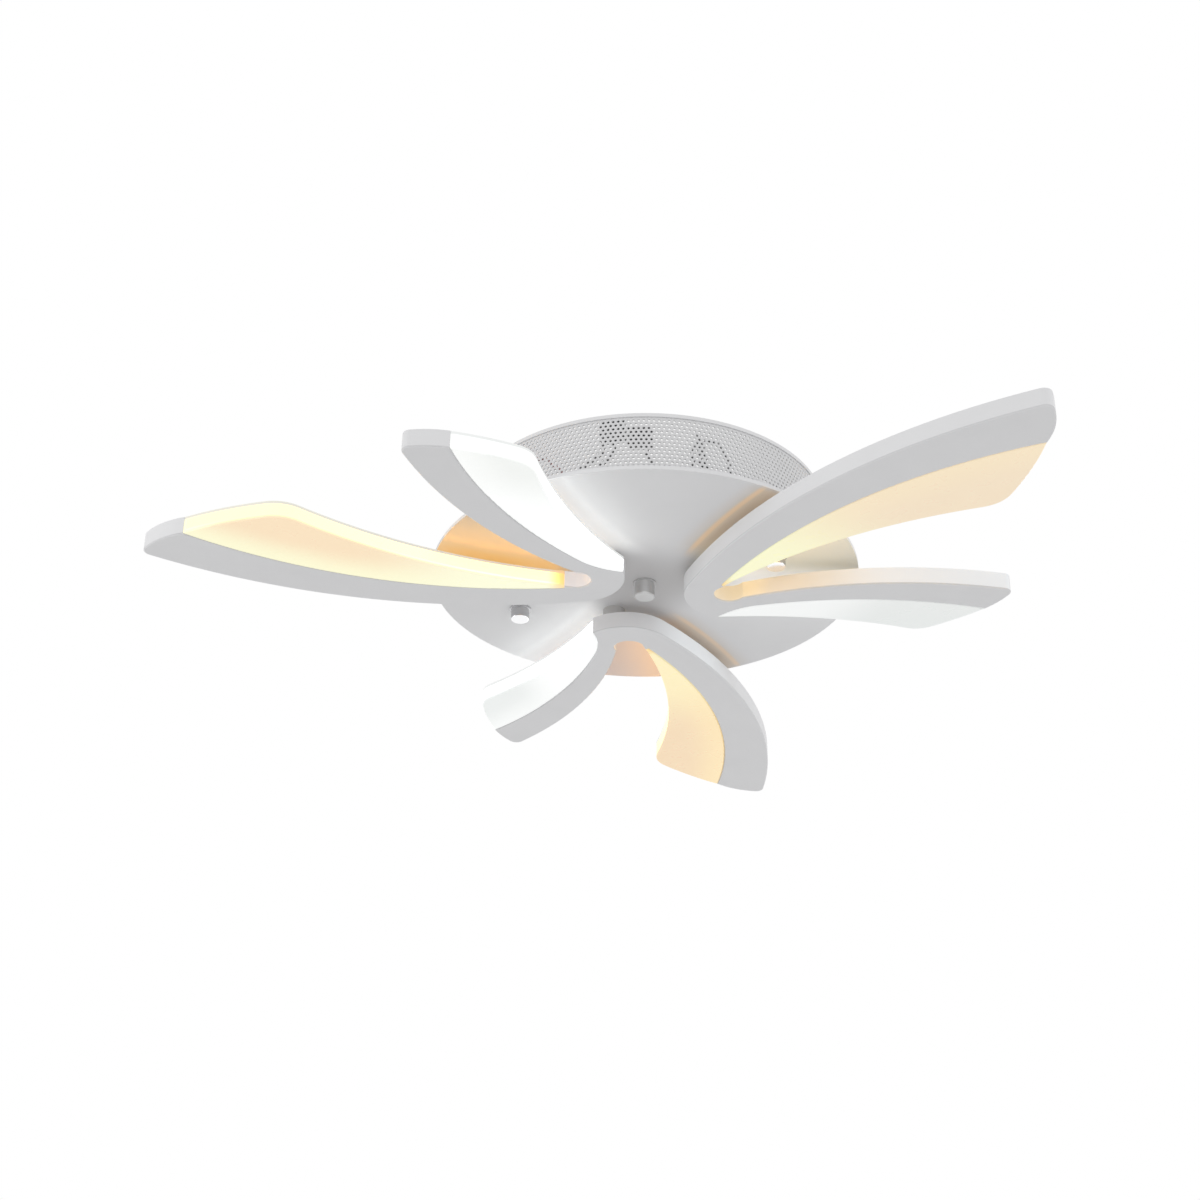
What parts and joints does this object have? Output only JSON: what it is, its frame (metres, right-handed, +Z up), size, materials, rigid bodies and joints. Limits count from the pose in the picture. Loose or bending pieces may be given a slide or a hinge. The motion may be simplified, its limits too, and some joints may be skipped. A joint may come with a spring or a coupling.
{
  "type": "led ceiling lamp",
  "caption": "Flush ceiling lamp: a round perforated canopy carries V-shaped heads, each with a long warm and a short cool glowing petal, around a finial.",
  "frame": {"origin": "middle of the ceiling bracket's upper face, on the ceiling plane and on the canopy's axis", "axes": "+Z up into the ceiling, X along the ceiling bracket, the lamp hangs towards -Z"},
  "size_m": [0.4944, 0.4906, 0.065],
  "materials": {
    "white_paint": "satin white powder coat",
    "warm_acrylic": "milky acrylic, lit warm from inside",
    "cool_acrylic": "milky acrylic, lit cool white from inside",
    "led_board": "white solder mask",
    "chrome": "polished",
    "satin_nickel": "satin",
    "zinc_steel": "zinc plated",
    "white_plastic": "moulded",
    "black_plastic": "moulded",
    "brass": "plain",
    "black_insulation": "soft insulation",
    "red_insulation": "soft insulation",
    "foam_tape": "closed-cell foam"
  },
  "bodies": {
    "lamp": {"arm_nuts": "zinc_steel", "arm_screws": "zinc_steel", "bracket_studs": "zinc_steel", "canopy_plate": "white_paint", "ceiling_bracket": "zinc_steel", "centre_screw": "zinc_steel", "cool_driver_case": "white_plastic", "cool_driver_lid": "white_plastic", "earth_lead": "black_insulation", "earth_screw": "brass", "head_far_back_plate": "white_paint", "head_far_cool_diffuser": "cool_acrylic", "head_far_cool_led_board": "led_board", "head_far_frame": "white_paint", "head_far_spacers": "white_paint", "head_far_stem": "zinc_steel", "head_far_warm_diffuser": "warm_acrylic", "head_far_warm_led_board": "led_board", "head_left_back_plate": "white_paint", "head_left_cool_diffuser": "cool_acrylic", "head_left_cool_led_board": "led_board", "head_left_frame": "white_paint", "head_left_spacers": "white_paint", "head_left_stem": "zinc_steel", "head_left_warm_diffuser": "warm_acrylic", "head_left_warm_led_board": "led_board", "head_right_back_plate": "white_paint", "head_right_cool_diffuser": "cool_acrylic", "head_right_cool_led_board": "led_board", "head_right_frame": "white_paint", "head_right_spacers": "white_paint", "head_right_stem": "zinc_steel", "head_right_warm_diffuser": "warm_acrylic", "head_right_warm_led_board": "led_board", "lead_connectors": "black_plastic", "lead_far_head": "black_insulation", "lead_left_head": "black_insulation", "lead_right_head": "black_insulation", "perforated_wall": "white_paint", "plate_screws": "zinc_steel", "red_lead": "red_insulation", "stem_nuts": "zinc_steel", "stud_lock_nuts": "zinc_steel", "tape_pads": "foam_tape", "terminal_block": "white_plastic", "terminal_screws": "brass", "wall_foot": "white_paint", "wall_rim": "white_paint", "warm_driver_case": "white_plastic", "warm_driver_lid": "white_plastic"},
    "left_washer": {"stud_washer_left": "chrome"},
    "left_cap_nut": {"cap_nut_left": "chrome"},
    "right_washer": {"stud_washer_right": "chrome"},
    "right_cap_nut": {"cap_nut_right": "chrome"},
    "finial_washer": {"finial_washer": "satin_nickel"},
    "finial": {"finial": "satin_nickel"}
  },
  "joints": [
    {"name": "left_travel", "type": "slide", "parent": "lamp", "child": "left_washer", "axis": [0, 0, -1], "range_m": [0, 0.0049]},
    {"name": "left_turn", "type": "hinge", "parent": "left_washer", "child": "left_cap_nut", "pos_m": [-0.0816, 0, -0.054], "axis": [0, 0, -1], "range_deg": [0, 2520]},
    {"name": "right_travel", "type": "slide", "parent": "lamp", "child": "right_washer", "axis": [0, 0, -1], "range_m": [0, 0.0049]},
    {"name": "right_turn", "type": "hinge", "parent": "right_washer", "child": "right_cap_nut", "pos_m": [0.0816, 0, -0.054], "axis": [0, 0, -1], "range_deg": [0, 2520]},
    {"name": "finial_travel", "type": "slide", "parent": "lamp", "child": "finial_washer", "axis": [0, 0, -1], "range_m": [0, 0.0064]},
    {"name": "finial_turn", "type": "hinge", "parent": "finial_washer", "child": "finial", "pos_m": [0, 0, -0.0543], "axis": [0, 0, -1], "range_deg": [0, 2880]}
  ],
  "couplings": [
    {"joint": "left_travel", "follows": "left_turn", "m_per_rad": 0.00011141},
    {"joint": "right_travel", "follows": "right_turn", "m_per_rad": 0.00011141},
    {"joint": "finial_travel", "follows": "finial_turn", "m_per_rad": 0.00012732}
  ]
}
